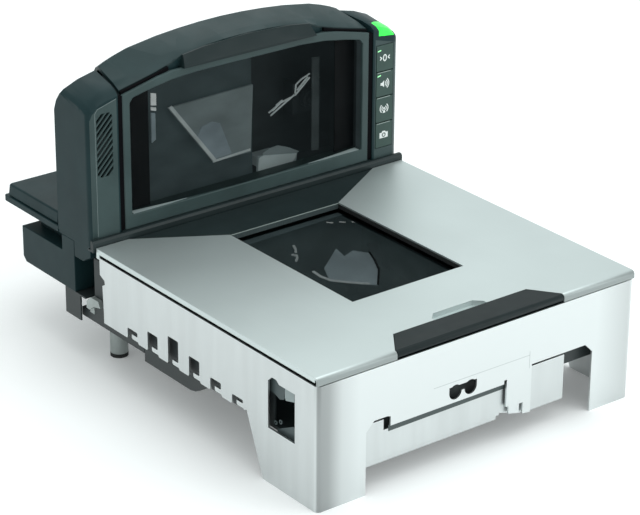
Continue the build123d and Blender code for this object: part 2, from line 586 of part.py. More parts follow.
with BuildPart() as window_masks:
    bowed_sheet(GLASS_THICKNESS + 0.1, 0.8)
    front_prism(pane, (TOWER_FRONT - 5, BEZEL_REAR + 5), Mode.INTERSECT, 1.2)
    block((-88, 88), (TOWER_FRONT, BEZEL_REAR), (0, 130), Mode.SUBTRACT)

with BuildPart() as base_lip:
    side_prism([(266.6, TOWER_FOOT - 2), (266.6, 3.5), (268, 5), (274.6, 5), (274.6, TOWER_FOOT - 2)],
               (-HALF - 2, HALF + 2))
    for side in (-1, 1):
        block((side * 118.8, side * (HALF + 2)), (TOWER_FRONT - 0.3, 275), (TOWER_FOOT - 0.3, 6),
              Mode.SUBTRACT)

with BuildPart() as tower_optics_box:
    front_prism([(-112.4, 3), (112.4, 3), (112.4, 109), (85, 116.8), (-85, 116.8), (-112.4, 109)],
                (284.8, 317.5))
    front_prism([(-109.4, 6), (109.4, 6), (109.4, 106), (84, 113.6), (-84, 113.6), (-109.4, 106)],
                (284, 314.5), Mode.SUBTRACT)

with BuildPart() as tower_mirror_main:
    front_prism([(-61, 83.6), (18, 85.2), (15.6, 30), (-19.7, 30)], (292, 294))
    block((-12, 12), (294, 314.5), (40, 60))

with BuildPart() as tower_mirror_low:
    front_prism([(21.5, 25), (59.7, 21), (57.8, 8.6), (20.5, 9.2)], (290, 292))
    block((30, 50), (292, 314.5), (10, 18))

with BuildPart() as tower_imager:
    block((64, 92), (302, 314.5), (46, 72))
    barrel(78, 59, 8, (296, 302))
    barrel(78, 59, 5.5, (292, 296))

GRILLE_X = -132.2
GRILLE_LOW = 46.2
GRILLE_PITCH = 5.2
GRILLE_SLOT = 2.3
GRILLE_ANGLE = 46

with BuildPart() as speaker_panel:
    front_prism(speaker_outline, (TOWER_FRONT, TOWER_FRONT + 1.7))
    with BuildSketch(front_plane(TOWER_FRONT - 1)) as slots:
        for index in range(13):
            with Locations((GRILLE_X, GRILLE_LOW + index * GRILLE_PITCH)):
                Rectangle(40, GRILLE_SLOT, rotation=GRILLE_ANGLE)
        with Locations((GRILLE_X, GRILLE_LOW + 6 * GRILLE_PITCH)):
            RectangleRounded(14, 50, 4, mode=Mode.INTERSECT)
    extrude(slots.sketch, amount=-4, mode=Mode.SUBTRACT)
    round_corner(-1, (TOWER_FRONT, COVER_Y))

with BuildPart() as key_panel:
    front_prism(key_outline, (TOWER_FRONT, TOWER_FRONT + 1.7))
    block((KEY_LEFT, KEY_RIGHT), (TOWER_FRONT - 1, TOWER_FRONT + 3), (KEY_EDGES[0], KEY_EDGES[-1]),
          Mode.SUBTRACT)
    round_corner(1, (TOWER_FRONT, COVER_Y))


def key_cap(low, high):
    """A flat key, a touch proud of its panel."""
    block((KEY_LEFT + KEY_GAP, KEY_RIGHT - KEY_GAP), (TOWER_FRONT - 0.3, TOWER_FRONT + 2.7),
          (low + KEY_GAP, high - KEY_GAP))


with BuildPart() as key_camera:
    key_cap(KEY_EDGES[0], KEY_EDGES[1])

with BuildPart() as key_tag:
    key_cap(KEY_EDGES[1], KEY_EDGES[2])

with BuildPart() as key_volume:
    key_cap(KEY_EDGES[2], KEY_EDGES[3])

with BuildPart() as key_zero:
    key_cap(KEY_EDGES[3], KEY_EDGES[4])

with BuildPart() as key_board:
    block((KEY_LEFT + 0.5, KEY_RIGHT + 1), (TOWER_FRONT + 6.5, TOWER_FRONT + 8), (8, 94))
    for low, high in zip(KEY_EDGES, KEY_EDGES[1:]):
        barrel((KEY_LEFT + KEY_RIGHT) / 2, (low + high) / 2, 3, (TOWER_FRONT + 4.2, TOWER_FRONT + 6.5))

with BuildPart() as status_light:
    shoulder_body(1)
    front_prism(light_outline, (TOWER_FRONT - 1, COVER_Y), Mode.INTERSECT)
    flat_prism(light_plan, (90, 130), Mode.INTERSECT)
    front_prism(light_hollow, (TOWER_FRONT + 2, COVER_Y), Mode.SUBTRACT)

with BuildPart() as right_shell:
    shoulder_body(1)
    shoulder_cavity(1)
    recess(key_outline)
    block((KEY_LEFT - 0.2, KEY_RIGHT + 0.2), (TOWER_FRONT, TOWER_FRONT + 4), (KEY_EDGES[0] - 0.2, 100.2),
          Mode.SUBTRACT)
    add(status_light.part, mode=Mode.SUBTRACT)

with BuildPart() as left_shell:
    shoulder_body(-1)
    shoulder_cavity(-1)
    recess(speaker_outline)
    block((-140, -125), (TOWER_FRONT, TOWER_FRONT + 4), (52, 101), Mode.SUBTRACT)

with BuildPart() as speaker:
    barrel(-133.4, 76, 9.5, (TOWER_FRONT + 3.2, TOWER_FRONT + 7))
    barrel(-133.4, 76, 6.5, (TOWER_FRONT + 7, TOWER_FRONT + 16))

with BuildPart() as back_cover:
    crown = shell_outlines[318.0] + shoulder_outlines[318.0]
    for y, drop in ((COVER_Y, 0.6), (TOWER_REAR, 4)):
        top = [(x - (drop if x > 140 else 0), z - drop) for x, z in crown]
        section = mirrored(top)
        foot = HALF - drop
        add(polygon(front_plane(y), [(-foot, 0.2), *section, (foot, 0.2)]))
    loft(ruled=True)
    for x in (-100, 100):
        for z in (28, 98):
            barrel(x, z, 1.75, (COVER_Y - 1, TOWER_REAR + 1), Mode.SUBTRACT)

with BuildPart() as back_screws:
    for x in (-100, 100):
        for z in (28, 98):
            barrel(x, z, 3.5, (TOWER_REAR, TOWER_REAR + 2))
            barrel(x, z, 1.7, (COVER_Y, TOWER_REAR))

# ---------------------------------------------------------------------------------------------------
# One STEP file for each piece
# ---------------------------------------------------------------------------------------------------

pieces = {
    "platter": platter, "platter_frame": platter_frame, "finger_scoop": finger_scoop,
    "horizontal_glass": horizontal_glass, "glass_gasket": glass_gasket, "apron": apron,
    "lift_tab": lift_tab, "lift_tab_pin": lift_tab_pin,
    "skirt": skirt, "front_inner_plate": front_inner_plate, "skirt_brackets": skirt_brackets,
    "base_pan": base_pan, "pan_screws": pan_screws, "lower_pod": lower_pod, "chassis_deck": chassis_deck,
    "lower_window": lower_window, "optics_housing": optics_housing, "lower_mirror_main": lower_mirror_main,
    "lower_mirror_left": lower_mirror_left, "lower_mirror_right": lower_mirror_right,
    "lower_imager": lower_imager, "scale_frame": scale_frame, "support_pads": support_pads,
    "load_cell": load_cell, "load_cell_mount": load_cell_mount, "foot_posts": foot_posts,
    "foot_pads": foot_pads, "rear_brackets": rear_brackets, "latch_hooks": latch_hooks,
    "tower_spine": tower_spine, "tower_base": tower_base, "rear_housing": rear_housing,
    "port_block": port_block, "main_board": main_board, "rear_flange": rear_flange,
    "rear_shelf": rear_shelf, "top_shell": top_shell, "bezel": bezel, "vertical_glass": vertical_glass,
    "window_masks": window_masks, "base_lip": base_lip, "tower_optics_box": tower_optics_box,
    "tower_mirror_main": tower_mirror_main, "tower_mirror_low": tower_mirror_low,
    "tower_imager": tower_imager, "speaker_panel": speaker_panel, "key_panel": key_panel,
    "key_camera": key_camera, "key_tag": key_tag, "key_volume": key_volume, "key_zero": key_zero,
    "key_board": key_board, "status_light": status_light, "right_shell": right_shell,
    "left_shell": left_shell, "speaker": speaker, "window_liner": window_liner,
    "flange_pad": flange_pad, "back_cover": back_cover,
    "back_screws": back_screws,
}

os.makedirs("parts", exist_ok=True)
for name, piece in pieces.items():
    piece.part.label = name
    export_step(piece.part, f"parts/{name}.step")
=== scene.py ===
import json
import math

import bmesh
import bpy
from mathutils import Matrix, Vector


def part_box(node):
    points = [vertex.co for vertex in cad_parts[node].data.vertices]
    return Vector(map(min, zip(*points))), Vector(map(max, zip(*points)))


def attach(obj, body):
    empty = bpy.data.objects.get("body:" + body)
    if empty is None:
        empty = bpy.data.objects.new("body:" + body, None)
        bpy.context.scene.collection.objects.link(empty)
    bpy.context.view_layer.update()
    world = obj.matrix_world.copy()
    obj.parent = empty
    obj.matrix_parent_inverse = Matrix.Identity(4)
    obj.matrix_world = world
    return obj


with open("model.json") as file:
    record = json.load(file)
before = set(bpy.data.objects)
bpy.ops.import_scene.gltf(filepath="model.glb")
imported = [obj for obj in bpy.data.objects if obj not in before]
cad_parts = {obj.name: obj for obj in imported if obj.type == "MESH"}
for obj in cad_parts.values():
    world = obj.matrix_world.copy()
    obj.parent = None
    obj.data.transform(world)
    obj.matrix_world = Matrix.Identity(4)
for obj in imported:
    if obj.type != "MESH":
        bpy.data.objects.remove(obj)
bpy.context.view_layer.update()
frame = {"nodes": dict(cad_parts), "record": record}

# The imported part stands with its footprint's centre at the origin. Metres, +Z up, +Y towards the tower.
MM = 0.001
nodes = frame["nodes"]
PLATTER_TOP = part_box("platter")[1].z
PLATTER_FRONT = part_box("platter")[0].y + 3 * MM


def place(x, y, z):
    """A point given in millimetres from the platter's front edge, centre line and top."""
    return Vector((x * MM, PLATTER_FRONT + y * MM, PLATTER_TOP + z * MM))


# ---------------------------------------------------------------------------------------------------
# Materials
# ---------------------------------------------------------------------------------------------------

def new_material(name):
    """An empty node material with one Principled shader."""
    material = bpy.data.materials.new(name)
    material.use_nodes = True
    return material, material.node_tree.nodes, material.node_tree.links


def shader_of(material):
    return material.node_tree.nodes["Principled BSDF"]


def coordinates(tree_nodes, links, scale=(1, 1, 1)):
    """Object coordinates, in metres of the row frame, stretched by scale."""
    source = tree_nodes.new("ShaderNodeTexCoord")
    mapping = tree_nodes.new("ShaderNodeMapping")
    mapping.inputs["Scale"].default_value = scale
    links.new(source.outputs["Object"], mapping.inputs["Vector"])
    return mapping.outputs["Vector"]


def noise(tree_nodes, links, vector, scale, detail=3.0, roughness=0.5):
    texture = tree_nodes.new("ShaderNodeTexNoise")
    texture.inputs["Scale"].default_value = scale
    texture.inputs["Detail"].default_value = detail
    texture.inputs["Roughness"].default_value = roughness
    links.new(vector, texture.inputs["Vector"])
    return texture.outputs["Fac"]


def ranged(tree_nodes, links, value, low, high):
    """Maps a 0..1 value into low..high."""
    node = tree_nodes.new("ShaderNodeMapRange")
    node.inputs["To Min"].default_value = low
    node.inputs["To Max"].default_value = high
    links.new(value, node.inputs["Value"])
    return node.outputs["Result"]


def blended(tree_nodes, links, value, dark, light):
    """A colour between two, by a 0..1 value."""
    ramp = tree_nodes.new("ShaderNodeValToRGB")
    ramp.color_ramp.elements[0].position = 0.3
    ramp.color_ramp.elements[0].color = (*dark, 1)
    ramp.color_ramp.elements[1].position = 0.7
    ramp.color_ramp.elements[1].color = (*light, 1)
    links.new(value, ramp.inputs["Fac"])
    return ramp.outputs["Color"]


def bumped(tree_nodes, links, shader, height, strength, distance):
    bump = tree_nodes.new("ShaderNodeBump")
    bump.inputs["Strength"].default_value = strength
    bump.inputs["Distance"].default_value = distance
    links.new(height, bump.inputs["Height"])
    links.new(bump.outputs["Normal"], shader.inputs["Normal"])


def scaled(colour, factor):
    return tuple(channel * factor for channel in colour)


def position(tree_nodes, links, axis):
    """One object coordinate, in metres of the row frame."""
    axes = tree_nodes.new("ShaderNodeSeparateXYZ")
    links.new(coordinates(tree_nodes, links), axes.inputs["Vector"])
    return axes.outputs[axis]


def span(tree_nodes, links, value, low, high, interpolation="LINEAR"):
    """Maps a value between low and high into 0..1."""
    node = tree_nodes.new("ShaderNodeMapRange")
    node.interpolation_type = interpolation
    node.inputs["From Min"].default_value = low
    node.inputs["From Max"].default_value = high
    links.new(value, node.inputs["Value"])
    return node.outputs["Result"]


# A mix node's colour sockets by number, because its other sockets have the same names
MIX_FIRST, MIX_SECOND, MIX_RESULT = 6, 7, 2


def mixed(tree_nodes, links, factor, first, second):
    """A colour that goes from the first to the second, each a tuple or a socket, with a 0..1 factor."""
    mix = tree_nodes.new("ShaderNodeMix")
    mix.data_type = "RGBA"
    links.new(factor, mix.inputs[0])
    for index, colour in ((MIX_FIRST, first), (MIX_SECOND, second)):
        if isinstance(colour, tuple):
            mix.inputs[index].default_value = (*colour, 1)
        else:
            links.new(colour, mix.inputs[index])
    return mix.outputs[MIX_RESULT]


def moulded_plastic(name, colour, roughness=0.45, grain=1500.0, depth=0.05, specular=0.4):
    """Injection-moulded plastic: spark-eroded grain, slight mottling and uneven gloss."""
    material, tree, links = new_material(name)
    shader = shader_of(material)
    shader.inputs["Specular IOR Level"].default_value = specular
    vector = coordinates(tree, links)
    mottle = noise(tree, links, vector, 38.0, 4.0)
    links.new(blended(tree, links, mottle, scaled(colour, 0.9), scaled(colour, 1.12)),
              shader.inputs["Base Color"])
    links.new(ranged(tree, links, noise(tree, links, vector, 90.0, 2.0), roughness - 0.06, roughness + 0.06),
              shader.inputs["Roughness"])
    bumped(tree, links, shader, noise(tree, links, vector, grain, 2.0), depth, 0.0001)
    return material


GRAIN_ACROSS = 900.0             # brush lines per metre, before the noise's own scale
GRAIN_ALONG = GRAIN_ACROSS / 216
PLATTER_LIP_SHADE = (-0.9, -2.4)       # painted shade darkens the platter's front lip between these depths
HOOD_FRONT_SHADE = (274.2, 277.5)      # painted shade: the hood's front is dark up to the first depth and plain past the second
SKIRT_FACE = -0.5                # sheet ahead of this depth is the skirt's front
SKIRT_HALF = 146.0

# Painted shade and highlights across the skirt's front, from its left edge (0) to its right edge (1): a
# highlight at each folded edge and shade beside the folds
FOLD_SHADE_AND_HIGHLIGHT = ((0.0, 1.1), (0.004, 0.46), (0.034, 0.52), (0.073, 0.86), (0.125, 1.0), (0.88, 1.0),
               (0.985, 0.78), (1.0, 1.1))


def depth_of(y):
    """The row frame's Y, in metres, of a depth in millimetres behind the platter's front edge."""
    return place(0, y, 0).y


def brushed_steel(name, colour, roughness, along, streak=0.35, metallic=1.0):
    """Stainless sheet with fine brush lines along one axis, faint haze and painted shade on its front lip."""
    material, tree, links = new_material(name)
    shader = shader_of(material)
    shader.inputs["Metallic"].default_value = metallic
    grain = [GRAIN_ALONG if axis == along else GRAIN_ACROSS for axis in range(3)]
    lines = noise(tree, links, coordinates(tree, links, grain), 1.6, 3.0, 0.6)
    haze = noise(tree, links, coordinates(tree, links), 9.0, 3.0)
    lip_top, lip_bottom = PLATTER_LIP_SHADE
    # Painted shade: the front lip is painted at half the colour
    lip = span(tree, links, position(tree, links, "Y"), depth_of(lip_top), depth_of(lip_bottom))
    plain = blended(tree, links, haze, scaled(colour, 0.95), scaled(colour, 1.03))
    links.new(mixed(tree, links, lip, plain, scaled(colour, 0.5)), shader.inputs["Base Color"])
    links.new(ranged(tree, links, lines, roughness - 0.06, roughness + 0.08), shader.inputs["Roughness"])
    bumped(tree, links, shader, lines, streak, 0.00004)
    return material


def folded_steel(name, colour, roughness):
    """Satin sheet with painted light: a highlight at each folded edge of its front, painted shade beside its
    folds, most of all at the left, and painted shade on its other faces.
    """
    material, tree, links = new_material(name)
    shader = shader_of(material)
    shader.inputs["Metallic"].default_value = 1.0
    fold_shading = tree.new("ShaderNodeValToRGB")
    for at, _ in FOLD_SHADE_AND_HIGHLIGHT[2:]:
        fold_shading.color_ramp.elements.new(at)
    for element, (at, shade) in zip(fold_shading.color_ramp.elements, FOLD_SHADE_AND_HIGHLIGHT):
        element.position = at
        element.color = (*scaled(colour, shade), 1)
    across = span(tree, links, position(tree, links, "X"), -SKIRT_HALF * MM, SKIRT_HALF * MM)
    links.new(across, fold_shading.inputs["Fac"])
    front = tree.new("ShaderNodeMath")
    front.operation = "LESS_THAN"
    front.inputs[1].default_value = depth_of(SKIRT_FACE)
    links.new(position(tree, links, "Y"), front.inputs[0])
    haze = noise(tree, links, coordinates(tree, links, (9, 9, 1)), 9.0, 3.0)
    # Painted shade: faces other than the front are darker than it
    shaded_sides = blended(tree, links, haze, scaled(colour, 0.84), scaled(colour, 0.92))
    face = mixed(tree, links, front.outputs["Value"], shaded_sides, fold_shading.outputs["Color"])
    links.new(face, shader.inputs["Base Color"])
    links.new(ranged(tree, links, haze, roughness - 0.05, roughness + 0.05), shader.inputs["Roughness"])
    return material


def hood_shaded_plastic(name, colour, specular):
    """The shell's plastic, with painted shade over the hood's front."""
    material = moulded_plastic(name, colour, 0.42, specular=specular)
    tree, links = material.node_tree.nodes, material.node_tree.links
    base_colour = shader_of(material).inputs["Base Color"]
    dark_end, plain_start = (depth_of(depth) for depth in HOOD_FRONT_SHADE)
    behind = span(tree, links, position(tree, links, "Y"), dark_end, plain_start, "SMOOTHSTEP")
    plain = base_colour.links[0].from_socket
    links.new(mixed(tree, links, behind, scaled(colour, 0.45), plain), base_colour)
    return material


def cast_metal(name, colour, metallic, roughness, grain=600.0):
    """A sand-blasted or painted casting, slightly rough."""
    material, tree, links = new_material(name)
    shader = shader_of(material)
    shader.inputs["Metallic"].default_value = metallic
    vector = coordinates(tree, links)
    tone = noise(tree, links, vector, 60.0, 4.0)
    links.new(blended(tree, links, tone, scaled(colour, 0.82), scaled(colour, 1.12)),
              shader.inputs["Base Color"])
    links.new(ranged(tree, links, tone, roughness - 0.08, roughness + 0.1), shader.inputs["Roughness"])
    bumped(tree, links, shader, noise(tree, links, vector, grain, 3.0), 0.35, 0.0002)
    return material


def window_glass(name, colour, alpha, roughness=0.03, specular=0.5):
    """Part see-through glass, with as much shine as specular gives and the faintest smear."""
    material, tree, links = new_material(name)
    shader = shader_of(material)
    shader.inputs["Base Color"].default_value = (*colour, 1)
    shader.inputs["Alpha"].default_value = alpha
    shader.inputs["IOR"].default_value = 1.52
    shader.inputs["Specular IOR Level"].default_value = specular
    smear = noise(tree, links, coordinates(tree, links, (6, 2, 3)), 6.0, 3.0)
    links.new(ranged(tree, links, smear, roughness, roughness + 0.05), shader.inputs["Roughness"])
    return material


def rubber(name, colour):
    material, tree, links = new_material(name)
    shader = shader_of(material)
    vector = coordinates(tree, links)
    fine = noise(tree, links, vector, 700.0, 2.0)
    links.new(blended(tree, links, fine, scaled(colour, 0.8), scaled(colour, 1.3)),
              shader.inputs["Base Color"])
    links.new(ranged(tree, links, fine, 0.7, 0.85), shader.inputs["Roughness"])
    bumped(tree, links, shader, fine, 0.2, 0.0001)
    return material


def circuit_board(name):
    """Green solder mask with copper traces showing through as lighter lines."""
    material, tree, links = new_material(name)
    shader = shader_of(material)
    texture = tree.new("ShaderNodeTexVoronoi")
    texture.feature = "DISTANCE_TO_EDGE"
    texture.distance = "CHEBYCHEV"
    texture.inputs["Scale"].default_value = 160.0
    links.new(coordinates(tree, links), texture.inputs["Vector"])
    links.new(blended(tree, links, texture.outputs["Distance"], (0.05, 0.26, 0.12), (0.01, 0.11, 0.05)),
              shader.inputs["Base Color"])
    shader.inputs["Roughness"].default_value = 0.35
    return material


def lit_lens(name, colour, strength):
    """A translucent light pipe that glows a little unevenly from the lamps behind it; also a glowing painted
    highlight.
    """
    material, tree, links = new_material(name)
    shader = shader_of(material)
    glow = noise(tree, links, coordinates(tree, links), 220.0, 2.0)
    tint = blended(tree, links, glow, scaled(colour, 0.75), colour)
    links.new(tint, shader.inputs["Base Color"])
    links.new(tint, shader.inputs["Emission Color"])
    shader.inputs["Emission Strength"].default_value = strength
    shader.inputs["Roughness"].default_value = 0.3
    return material


def painted_glow_surface(name, colour, glow, roughness=0.45):
    """A mirror or wall deep in the optics, painted with a faint glow of its own that stands in for the light
    reaching it.
    """
    material, tree, links = new_material(name)
    shader = shader_of(material)
    haze = noise(tree, links, coordinates(tree, links, (1, 1, 2)), 30.0, 3.0)
    links.new(blended(tree, links, haze, scaled(colour, 0.85), scaled(colour, 1.15)),
              shader.inputs["Base Color"])
    links.new(blended(tree, links, haze, scaled(colour, 0.8), scaled(colour, 1.2)),
              shader.inputs["Emission Color"])
    shader.inputs["Emission Strength"].default_value = glow
    shader.inputs["Roughness"].default_value = roughness
    shader.inputs["Specular IOR Level"].default_value = 0.3
    return material


def optics_black(name, colour):
    """Flocked black inside the optics: no shine at all."""
    material, tree, links = new_material(name)
    shader = shader_of(material)
    nap = noise(tree, links, coordinates(tree, links), 120.0, 2.0)
    links.new(blended(tree, links, nap, scaled(colour, 0.8), scaled(colour, 1.2)),
              shader.inputs["Base Color"])
    shader.inputs["Roughness"].default_value = 0.9
    shader.inputs["Specular IOR Level"].default_value = 0.1
    return material


def printed_ink(name, colour):
    material, tree, links = new_material(name)
    shader = shader_of(material)
    fine = noise(tree, links, coordinates(tree, links), 900.0, 2.0)
    links.new(blended(tree, links, fine, scaled(colour, 0.92), colour), shader.inputs["Base Color"])
    shader.inputs["Roughness"].default_value = 0.5
    return material


materials = {
    "brushed_stainless": brushed_steel("brushed_stainless", (0.635, 0.70, 0.695), 0.48, 1, 0.02, 0.9),
    "bright_stainless": folded_steel("bright_stainless", (0.70, 0.735, 0.735), 0.38),
    "cast_grey": cast_metal("cast_grey", (0.36, 0.40, 0.39), 0.4, 0.5),
    "aluminium": cast_metal("aluminium", (0.7, 0.7, 0.71), 1.0, 0.35, 1200.0),
    "steel": cast_metal("steel", (0.55, 0.55, 0.57), 1.0, 0.3, 1500.0),
    "dark_casting": cast_metal("dark_casting", (0.020, 0.028, 0.029), 0.0, 0.5),
    "slate_plastic": moulded_plastic("slate_plastic", (0.011, 0.029, 0.032), 0.42, specular=0.13),
    "bezel_plastic": moulded_plastic("bezel_plastic", (0.043, 0.068, 0.068), 0.4, specular=0.2),
    "key_plastic": moulded_plastic("key_plastic", (0.032, 0.066, 0.056), 0.38, specular=0.3),
    "black_plastic": moulded_plastic("black_plastic", (0.007, 0.013, 0.014), 0.42, specular=0.35),
    "black_print": optics_black("black_print", (0.002, 0.002, 0.003)),
    "black_rubber": rubber("black_rubber", (0.010, 0.012, 0.012)),
    "window_glass": window_glass("window_glass", (0.0, 0.0, 0.0), 0.30, 0.03, 0.0),
    "clear_glass": window_glass("clear_glass", (0.3, 0.36, 0.36), 0.05, 0.03, 0.15),
    # The mirror slot glows with painted light
    "mirror": painted_glow_surface("mirror", (0.17, 0.215, 0.22), 0.4),
    "circuit_board": circuit_board("circuit_board"),
    "green_lens": lit_lens("green_lens", (0.02, 0.9, 0.06), 0.9),
}
white_print = printed_ink("white_print", (0.80, 0.84, 0.82))
# Print on the keys, and a painted highlight along the level window's rear edge
divider_print_and_edge_highlight = printed_ink("divider_print_and_edge_highlight", (0.30, 0.36, 0.34))
# A lamp in the upright window, and painted glints in the level window
lamp_and_glint_white = lit_lens("lamp_and_glint_white", (0.80, 0.86, 0.85), 0.5)
lamp_green = lit_lens("lamp_green", (0.35, 0.95, 0.42), 0.8)
# Surfaces seen through the windows, glowing with painted light
inner_grey = painted_glow_surface("inner_grey", (0.052, 0.075, 0.079), 0.5, 0.6)
inner_post = painted_glow_surface("inner_post", (0.048, 0.064, 0.066), 0.45, 0.6)
mirror_highlight = painted_glow_surface("mirror_highlight", (0.42, 0.48, 0.48), 0.45)
# Painted shade along the skirt's crease lines and in its gap
crease_shade_grey = printed_ink("crease_shade_grey", (0.50, 0.54, 0.54))
gap_shade_grey = printed_ink("gap_shade_grey", (0.05, 0.07, 0.07))
# Glowing with painted light: a painted reflection on the mirror facet, and two mirror colours
facet_reflection_grey = painted_glow_surface("facet_reflection_grey", (0.225, 0.285, 0.312), 0.4)
mirror_blue = painted_glow_surface("mirror_blue", (0.25, 0.32, 0.345), 0.4)
mirror_soft = painted_glow_surface("mirror_soft", (0.33, 0.40, 0.40), 0.45)
wall_grey = moulded_plastic("wall_grey", (0.065, 0.088, 0.09), 0.5)
# A painted highlight for the speaker panel's rim
rim_highlight_grey = moulded_plastic("rim_highlight_grey", (0.13, 0.165, 0.165), 0.35)
# Painted highlights on the sill, and the pale nut inside the leg windows
sill_highlight_and_nut_grey = moulded_plastic("sill_highlight_and_nut_grey", (0.30, 0.36, 0.36), 0.4)

slot_of = {entry["node"]: entry["material_slot"] for entry in frame["record"]["subparts"]}
# Dark optics parts, glowing with painted light
inner_dark = painted_glow_surface("inner_dark", (0.021, 0.029, 0.031), 0.5, 0.6)
lower_dark = painted_glow_surface("lower_dark", (0.050, 0.073, 0.076), 0.5, 0.6)

# Pieces whose look differs from the rest of their slot; the window masks and the optics parts glow with
# painted light
own_finish = {
    "window_masks": painted_glow_surface("mask_black", (0.0055, 0.0075, 0.0085), 0.5, 0.6),
    "lift_tab": moulded_plastic("tab_plastic", (0.008, 0.015, 0.016), 0.42, specular=0.18),
    "top_shell": hood_shaded_plastic("hood_shaded_plastic", (0.014, 0.034, 0.036), 0.24),
}
for name in ("apron", "base_lip"):
    own_finish[name] = moulded_plastic(name + "_plastic", (0.013, 0.022, 0.023), 0.42, specular=0.3)
for name in ("tower_optics_box", "window_liner", "tower_imager"):
    own_finish[name] = inner_dark
for name in ("optics_housing", "lower_imager", "lower_mirror_main", "lower_mirror_left",
             "lower_mirror_right"):
    own_finish[name] = lower_dark

for name, node in nodes.items():
    node.data.materials.clear()
    node.data.materials.append(own_finish.get(name, materials[slot_of[name]]))

# ---------------------------------------------------------------------------------------------------
# Edges: the corners of mouldings, sheet and castings are never knife sharp
# ---------------------------------------------------------------------------------------------------

EDGE_RADII = {
    0.5: ("left_shell", "right_shell", "top_shell", "back_cover", "rear_housing", "tower_base", "rear_shelf",
          "rear_flange", "bezel", "base_lip", "lower_pod", "port_block"),
    0.3: ("lift_tab", "key_zero", "key_volume", "key_tag", "key_camera", "speaker_panel", "key_panel",
          "apron", "latch_hooks", "rear_brackets", "foot_posts"),
    0.25: ("platter", "skirt", "finger_scoop", "front_inner_plate", "skirt_brackets"),
}


def soften(node, radius):
    """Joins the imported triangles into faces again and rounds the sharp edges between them."""
    weld = node.modifiers.new("weld", "WELD")
    weld.merge_threshold = 0.001 * MM
    faces = node.modifiers.new("faces", "DECIMATE")
    faces.decimate_type = "DISSOLVE"
    faces.angle_limit = math.radians(1.0)
    bevel = node.modifiers.new("edges", "BEVEL")
    bevel.width = radius * MM
    bevel.segments = 2
    bevel.limit_method = "ANGLE"
    bevel.angle_limit = math.radians(32)
    bevel.harden_normals = True


for radius, names in EDGE_RADII.items():
    for name in names:
        soften(nodes[name], radius)

# ---------------------------------------------------------------------------------------------------
# Small pieces
# ---------------------------------------------------------------------------------------------------

def upright(depth):
    """Turns x and z of an upright outline into a point at one depth."""
    return lambda x, z: place(x, depth, z)


def sideways(across):
    """Turns y and z of a side outline into a point at one distance from the centre line."""
    return lambda y, z: place(across, y, z)


def level(height):
    """Turns x and y of a level outline into a point at one height."""
    return lambda x, y: place(x, y, height)


def add_plate(mesh, outline, near, far):
    """A closed plate between two places of one outline."""
    front = [mesh.verts.new(near(*point)) for point in outline]
    rear = [mesh.verts.new(far(*point)) for point in outline]
    mesh.faces.new(front)
    mesh.faces.new(rear[::-1])
    for index in range(len(outline)):
        after = (index + 1) % len(outline)
        mesh.faces.new((front[after], front[index], rear[index], rear[after]))


def add_strip(mesh, left, right, near, far, closed=False):
    """A closed strip between two lines of points: a stroke, or a ring where closed."""
    rows = [[mesh.verts.new(where(*point)) for point in line]
            for line in (left, right) for where in (near, far)]
    left_near, left_far, right_near, right_far = rows
    count = len(left)
    for index in range(count if closed else count - 1):
        after = (index + 1) % count
        mesh.faces.new((left_near[index], left_near[after], right_near[after], right_near[index]))
        mesh.faces.new((left_far[after], left_far[index], right_far[index], right_far[after]))
        mesh.faces.new((left_near[after], left_near[index], left_far[index], left_far[after]))
        mesh.faces.new((right_near[index], right_near[after], right_far[after], right_far[index]))
    if not closed:
        for end in (0, -1):
            mesh.faces.new((left_near[end], right_near[end], right_far[end], left_far[end]))


def offset_lines(points, width, closed=False):
    """The two sides of a line of even width through the points, mitred at its corners."""
    points = [Vector(point) for point in points]
    left, right = [], []
    for index, point in enumerate(points):
        before = points[index - 1] if index or closed else point
        after = points[(index + 1) % len(points)] if index + 1 < len(points) or closed else point
        into = (point - before).normalized() if before != point else (after - point).normalized()
        out = (after - point).normalized() if after != point else into
        mitre = (into + out).normalized()
        side = Vector((-mitre.y, mitre.x)) * (width / 2 / max(0.4, mitre.dot(into)))
        left.append(point + side)
        right.append(point - side)
    return left, right


def bar(left, right, low, high):
    """The corners of a rectangle."""
    return [(left, low), (right, low), (right, high), (left, high)]


def arc(centre, radii, start, end, steps):
    """Points on an ellipse, from one angle to another in degrees."""
    angles = [math.radians(start + (end - start) * index / steps) for index in range(steps + 1)]
    return [(centre[0] + radii[0] * math.cos(a), centre[1] + radii[1] * math.sin(a)) for a in angles]


def finish_piece(name, mesh, material, body):
    """Turns a mesh into a piece that rides on a body and has the given finish."""
    bmesh.ops.recalc_face_normals(mesh, faces=mesh.faces)
    data = bpy.data.meshes.new(name)
    mesh.to_mesh(data)
    mesh.free()
    data.materials.append(material)
    piece = bpy.data.objects.new(name, data)
    bpy.context.collection.objects.link(piece)
    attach(piece, body)
    return piece


def plates(name, outlines, near, far, material, body):
    mesh = bmesh.new()
    for outline in outlines:
        add_plate(mesh, outline, near, far)
    return finish_piece(name, mesh, material, body)


def strokes(name, lines, width, near, far, material, body):
    mesh = bmesh.new()
    for points in lines:
        closed = points[0] == points[-1]
        left, right = offset_lines(points[:-1] if closed else points, width, closed)
        add_strip(mesh, left, right, near, far, closed)
    return finish_piece(name, mesh, material, body)


KEY_FACE = 270.9         # depth of the keys' front faces
INK = 0.08               # how far print stands out of them
KEY_MIDDLE = 131.6
DIVIDER = (124.4, 137.6)
key_front, key_back = upright(KEY_FACE - INK), upright(KEY_FACE + 0.05)


def closed_ring(centre, radii):
    """A full ellipse whose last point is its first, which strokes() takes as closed."""
    ring = arc(centre, radii, 0, 360, 20)
    return ring[:-1] + ring[:1]


